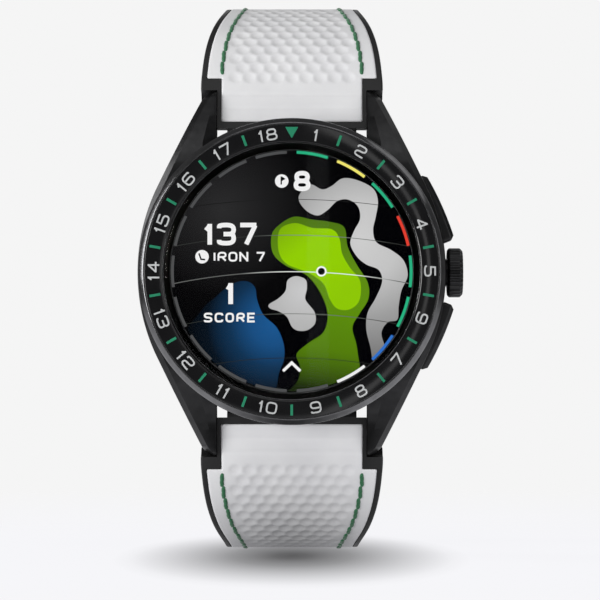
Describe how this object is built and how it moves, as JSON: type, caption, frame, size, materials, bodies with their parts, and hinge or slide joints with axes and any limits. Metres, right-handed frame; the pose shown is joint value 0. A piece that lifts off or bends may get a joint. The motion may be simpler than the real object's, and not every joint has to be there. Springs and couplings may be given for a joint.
{
  "type": "golf gps watch",
  "caption": "Round golf watch with a touch display, numbered golf bezel, crown, pushers, stitched rubber strap and folding clasp.",
  "frame": {"origin": "middle of the flat sensor window on the case back", "axes": "+X towards 3 o'clock and the crown, +Y out of the case back away from the dial, +Z towards 12 o'clock"},
  "size_m": [0.0476, 0.0653, 0.0832],
  "materials": {
    "case_black": "satin",
    "bezel_black": "polished",
    "ceramic_black": "gloss",
    "lacquer_green": "gloss",
    "crystal_glass": "polished",
    "gasket_rubber": "matte",
    "display_black": "gloss",
    "inner_plastic": "matte",
    "board_green": "satin",
    "copper_film": "satin",
    "cell_grey": "satin",
    "bare_steel": "satin",
    "spring_steel": "polished",
    "gold_plate": "polished",
    "window_glass": "polished",
    "back_black": "satin",
    "strap_black": "matte",
    "strap_white": "matte",
    "thread_green": "matte",
    "clasp_black": "satin"
  },
  "bodies": {
    "case": {"case_middle": "case_black", "bezel_ring": "bezel_black", "bezel_insert": "ceramic_black", "bezel_markings": "lacquer_green", "crystal": "crystal_glass", "crystal_gasket": "gasket_rubber", "display_panel": "display_black", "display_frame": "inner_plastic", "display_ribbon": "copper_film", "inner_chassis": "inner_plastic", "main_board": "board_green", "battery": "cell_grey", "satellite_antenna": "copper_film", "vibration_motor": "bare_steel", "speaker": "inner_plastic", "microphone": "bare_steel", "case_back": "back_black", "case_back_gasket": "gasket_rubber", "case_back_screws": "bare_steel", "sensor_window": "window_glass", "sensor_board": "board_green", "charging_contacts": "gold_plate", "crown_tube": "bare_steel", "crown_gasket": "gasket_rubber", "crown_spring": "spring_steel", "crown_switch": "inner_plastic", "pusher_spring_upper": "spring_steel", "pusher_spring_lower": "spring_steel", "pusher_tubes": "bare_steel", "pusher_gaskets": "gasket_rubber", "pusher_switches": "bare_steel"},
    "strap_12": {"strap_12_base": "strap_black", "strap_12_inlay": "strap_white", "strap_12_stitching": "thread_green", "spring_bar_12": "bare_steel", "bar_spring_12": "spring_steel", "clasp_cover": "clasp_black", "clasp_cover_pins": "bare_steel", "clasp_button_springs": "spring_steel"},
    "strap_6": {"strap_6_base": "strap_black", "strap_6_inlay": "strap_white", "strap_6_stitching": "thread_green", "spring_bar_6": "bare_steel", "bar_spring_6": "spring_steel", "clasp_end_bar": "bare_steel"},
    "quick_release_12": {"quick_release_12": "bare_steel"},
    "quick_release_6": {"quick_release_6": "bare_steel"},
    "blade_middle": {"clasp_blade_middle": "clasp_black"},
    "blade_inner": {"clasp_blade_inner": "clasp_black", "clasp_blade_pin": "bare_steel"},
    "button_right": {"clasp_button_right": "clasp_black"},
    "button_left": {"clasp_button_left": "clasp_black"},
    "crown_slider": {"crown_bushing": "gold_plate"},
    "crown": {"crown_knob": "case_black", "crown_shaft": "bare_steel", "crown_clip": "bare_steel"},
    "pusher_upper": {"pusher_upper": "case_black", "pusher_clip_upper": "bare_steel"},
    "pusher_lower": {"pusher_lower": "case_black", "pusher_clip_lower": "bare_steel"}
  },
  "joints": [
    {"name": "crown_press", "type": "slide", "parent": "case", "child": "crown_slider", "axis": [-1, 0, 0], "range_m": [0, 0.0004], "stiffness_N_per_m": 2000, "springref_m": -0.0003, "deforming": ["crown_spring"]},
    {"name": "crown_turn", "type": "hinge", "parent": "crown_slider", "child": "crown", "pos_m": [0, -0.0065, 0], "axis": [1, 0, 0], "continuous": true},
    {"name": "pusher_upper_press", "type": "slide", "parent": "case", "child": "pusher_upper", "axis": [-0.9135, 0, -0.4067], "range_m": [0, 0.0005], "stiffness_N_per_m": 2000, "springref_m": -0.0003, "deforming": ["pusher_spring_upper"]},
    {"name": "pusher_lower_press", "type": "slide", "parent": "case", "child": "pusher_lower", "axis": [-0.9135, 0, 0.4067], "range_m": [0, 0.0005], "stiffness_N_per_m": 2000, "springref_m": -0.0003, "deforming": ["pusher_spring_lower"]},
    {"name": "strap_12_swing", "type": "hinge", "parent": "case", "child": "strap_12", "pos_m": [0, -0.0033, 0.0234], "axis": [1, 0, 0], "range_deg": [0, 24]},
    {"name": "strap_6_swing", "type": "hinge", "parent": "case", "child": "strap_6", "pos_m": [0, -0.0033, -0.0234], "axis": [1, 0, 0], "range_deg": [-24, 0]},
    {"name": "quick_release_12_slide", "type": "slide", "parent": "strap_12", "child": "quick_release_12", "axis": [-1, 0, 0], "range_m": [0, 0.0009], "stiffness_N_per_m": 500, "springref_m": -0.001, "deforming": ["bar_spring_12"]},
    {"name": "quick_release_6_slide", "type": "slide", "parent": "strap_6", "child": "quick_release_6", "axis": [-1, 0, 0], "range_m": [0, 0.0009], "stiffness_N_per_m": 500, "springref_m": -0.001, "deforming": ["bar_spring_6"]},
    {"name": "blade_middle_fold", "type": "hinge", "parent": "strap_12", "child": "blade_middle", "pos_m": [0, 0.04609, -0.013], "axis": [1, 0, 0], "range_deg": [0, 103.6]},
    {"name": "blade_inner_fold", "type": "hinge", "parent": "blade_middle", "child": "blade_inner", "pos_m": [0, 0.04554, 0.0145], "axis": [1, 0, 0], "range_deg": [-110.7, 0]},
    {"name": "button_right_press", "type": "slide", "parent": "strap_12", "child": "button_right", "axis": [-1, 0, 0], "range_m": [0, 0.0005], "stiffness_N_per_m": 1500, "springref_m": -0.0003, "deforming": ["clasp_button_springs"]},
    {"name": "button_left_press", "type": "slide", "parent": "strap_12", "child": "button_left", "axis": [1, 0, 0], "range_m": [0, 0.0005], "stiffness_N_per_m": 1500, "springref_m": -0.0003}
  ],
  "couplings": [
    {"joint": "strap_6_swing", "follows": "strap_12_swing", "ratio": -1},
    {"joint": "blade_middle_fold", "follows": "strap_12_swing", "ratio": 4.3108},
    {"joint": "blade_inner_fold", "follows": "strap_12_swing", "ratio": -4.6063}
  ]
}
